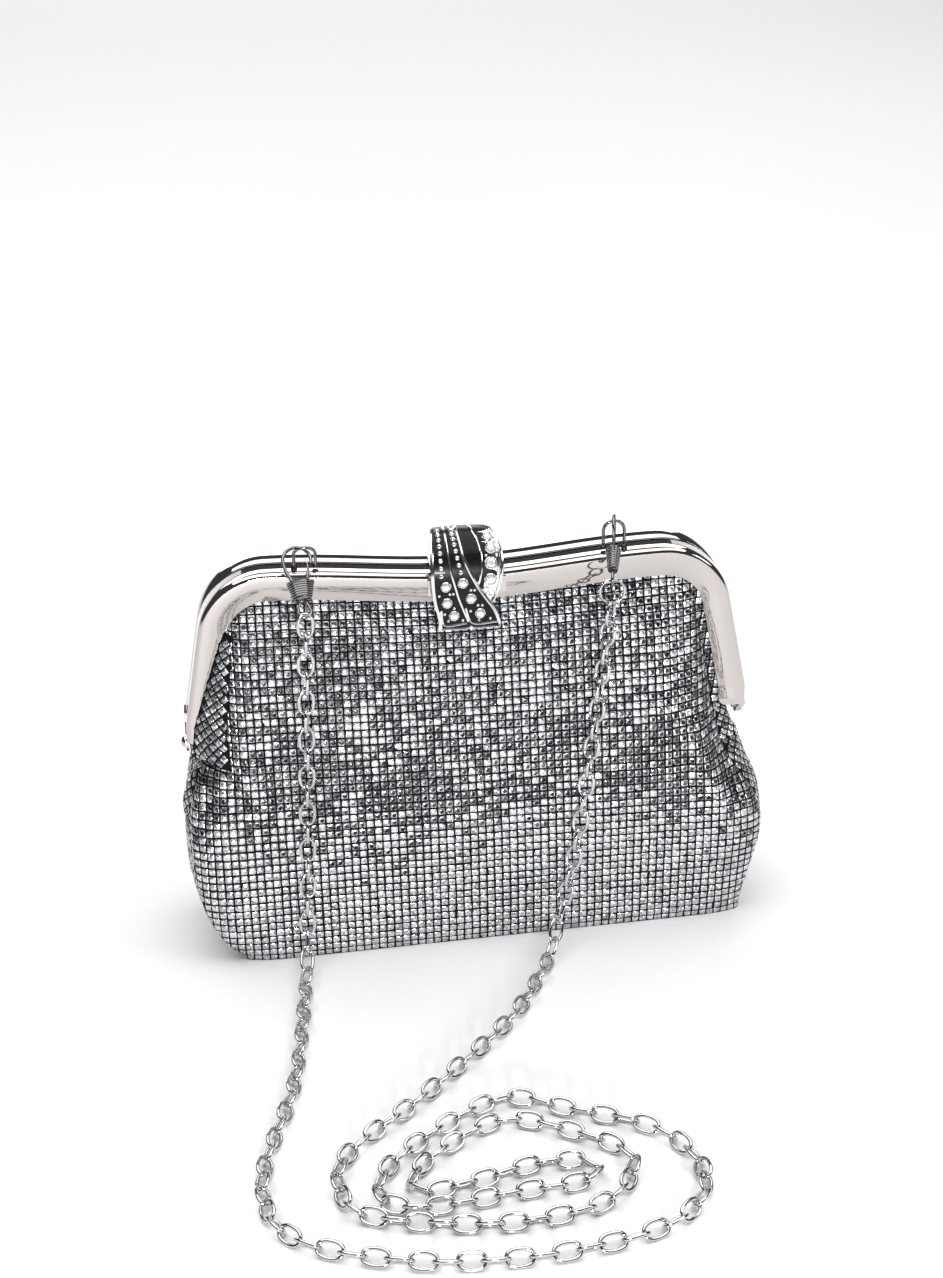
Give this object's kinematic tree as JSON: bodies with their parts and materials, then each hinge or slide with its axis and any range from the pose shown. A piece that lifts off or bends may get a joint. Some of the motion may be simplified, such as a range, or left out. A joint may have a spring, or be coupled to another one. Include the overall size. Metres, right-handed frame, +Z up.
{
  "type": "evening bag",
  "caption": "Clutch evening bag: hinged two-part metal frame, flip-up jewelled clasp, glittering check fabric body, and a chain strap held by snap hooks.",
  "frame": {"origin": "middle of the base, on the surface the bag stands on", "axes": "+Z up, +X to the right seen from the front, the front with the clasp faces -Y"},
  "size_m": [0.2192, 0.2445, 0.1616],
  "materials": {
    "polished_metal": "mirror-polished nickel-plated steel",
    "bright_wire": "bright nickel-plated wire",
    "antique_silver": "antique silver casting with black enamel recesses",
    "crystal": "clear foiled rhinestone",
    "chain": "bright oval cable links",
    "glitter_fabric": "black textile with a grid of silver glitter squares",
    "lining": "black satin lining",
    "grey_board": "grey stiffening board"
  },
  "bodies": {
    "bag_body": {"bail_left": "bright_wire", "bail_right": "bright_wire", "base_board": "grey_board", "base_panel": "glitter_fabric", "chain": "chain", "clasp_bracket": "polished_metal", "clasp_catch": "polished_metal", "clasp_pin": "bright_wire", "front_crimp_strip": "polished_metal", "front_frame": "polished_metal", "front_panel": "glitter_fabric", "gusset_fold_left": "glitter_fabric", "gusset_fold_right": "glitter_fabric", "gusset_left": "glitter_fabric", "gusset_right": "glitter_fabric", "hinge_rivet_left": "polished_metal", "hinge_rivet_right": "polished_metal", "hook_collar_left": "bright_wire", "hook_collar_right": "bright_wire", "hook_eye_left": "bright_wire", "hook_eye_right": "bright_wire", "hook_left": "bright_wire", "hook_right": "bright_wire", "jump_ring": "bright_wire", "lining_front": "lining", "lining_rear_fold": "lining", "lining_tub": "lining", "rear_panel_fold": "glitter_fabric", "rear_panel_lower": "glitter_fabric", "slip_pocket": "lining"},
    "rear_half": {"rear_frame": "polished_metal", "rear_crimp_strip": "polished_metal", "rear_panel_upper": "glitter_fabric", "lining_rear_upper": "lining"},
    "clasp": {"clasp_flap": "antique_silver", "rhinestone_01": "crystal", "rhinestone_02": "crystal", "rhinestone_03": "crystal", "rhinestone_04": "crystal", "rhinestone_05": "crystal", "rhinestone_06": "crystal", "rhinestone_07": "crystal", "rhinestone_08": "crystal", "rhinestone_09": "crystal", "rhinestone_10": "crystal", "rhinestone_11": "crystal"},
    "gate_left": {"hook_gate_left": "bright_wire"},
    "gate_right": {"hook_gate_right": "bright_wire"}
  },
  "joints": [
    {"name": "frame_open", "type": "hinge", "parent": "bag_body", "child": "rear_half", "pos_m": [0, 0, 0.079], "axis": [-1, 0, 0], "range_deg": [0, 65], "deforming": ["rear_panel_fold", "lining_rear_fold", "gusset_fold_left", "gusset_fold_right"]},
    {"name": "clasp_lift", "type": "hinge", "parent": "bag_body", "child": "clasp", "pos_m": [0, 0.007, 0.1492], "axis": [-1, 0, 0], "range_deg": [0, 100]},
    {"name": "gate_left_press", "type": "hinge", "parent": "bag_body", "child": "gate_left", "pos_m": [-0.0574, -0.01686, 0.14803], "axis": [0.0583, -0.6666, 0.7431], "range_deg": [0, 22], "stiffness_Nm_per_rad": 0.003, "springref_deg": -5.73},
    {"name": "gate_right_press", "type": "hinge", "parent": "bag_body", "child": "gate_right", "pos_m": [0.05272, -0.01571, 0.15288], "axis": [-0.9781, 0.2079, 0], "range_deg": [0, 22], "stiffness_Nm_per_rad": 0.003, "springref_deg": -5.73}
  ]
}
